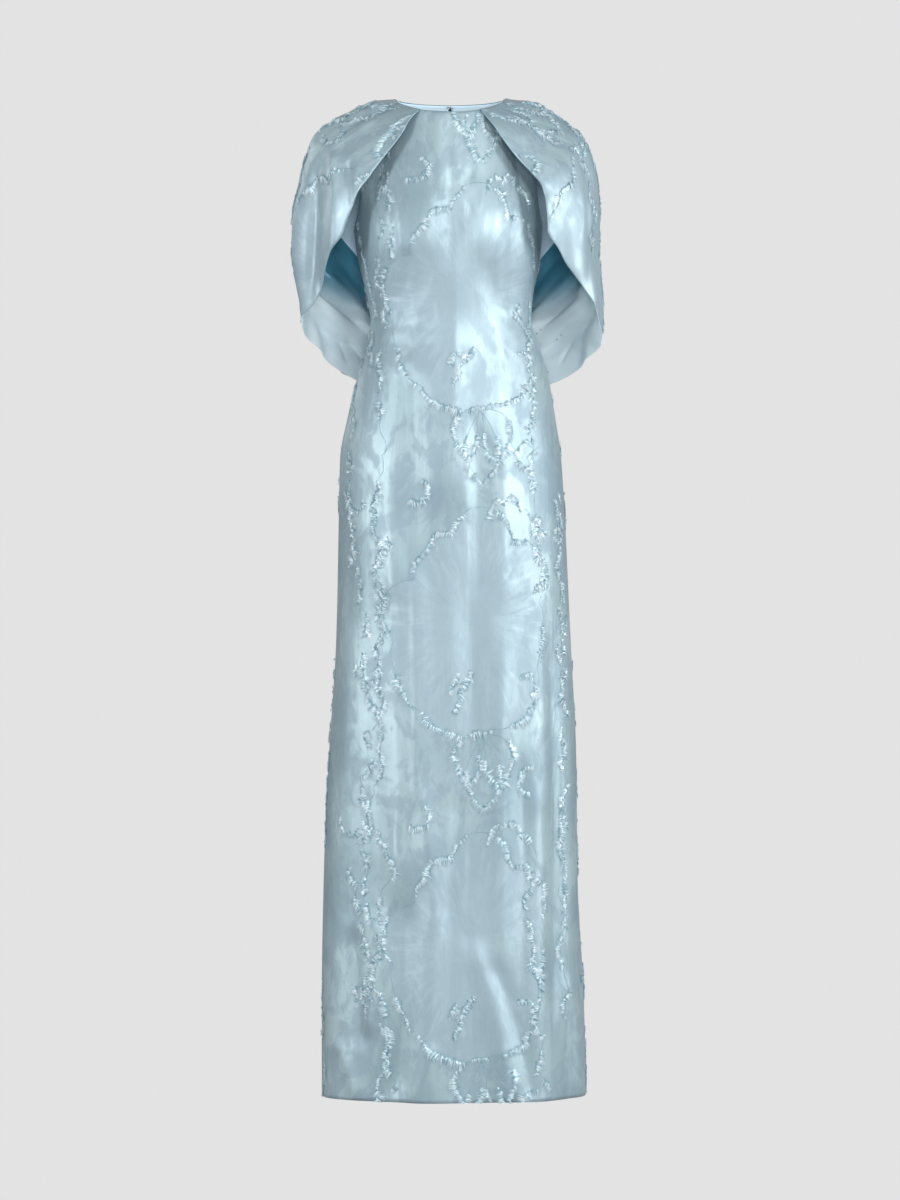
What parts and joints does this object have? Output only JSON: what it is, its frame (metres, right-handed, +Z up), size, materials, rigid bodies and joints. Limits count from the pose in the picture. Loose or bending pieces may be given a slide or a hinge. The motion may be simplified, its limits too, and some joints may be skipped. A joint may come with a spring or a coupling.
{
  "type": "cape gown",
  "caption": "Sleeveless floor-length column gown with a short open-fronted cape sewn into its high neckline, worn form, with a concealed back zip.",
  "frame": {"origin": "on the shoulder line, midway between the points where each shoulder seam meets the neckline", "axes": "+X towards the right of someone who looks at the front, -Y out of the front, +Z up"},
  "size_m": [0.499, 0.2844, 1.5914],
  "materials": {
    "satin": "ice-blue satin with clipped thread tufts in a floral layout",
    "facing": "smooth pale blue satin",
    "metal": "lacquered pale blue metal"
  },
  "bodies": {
    "gown": {"gown_front": "satin", "gown_back_left": "satin", "gown_back_right": "satin", "neck_facing_left": "facing", "neck_facing_right": "facing", "cape_left": "satin", "cape_right": "satin", "cape_facing_left": "facing", "cape_facing_right": "facing", "hook": "metal", "eye": "metal", "zip_slider": "metal"},
    "pull": {"zip_pull": "metal"}
  },
  "joints": [
    {"name": "pull_swing", "type": "hinge", "parent": "gown", "child": "pull", "pos_m": [0, 0.06716, -0.04366], "axis": [1, 0, 0], "range_deg": [0, 120]}
  ]
}
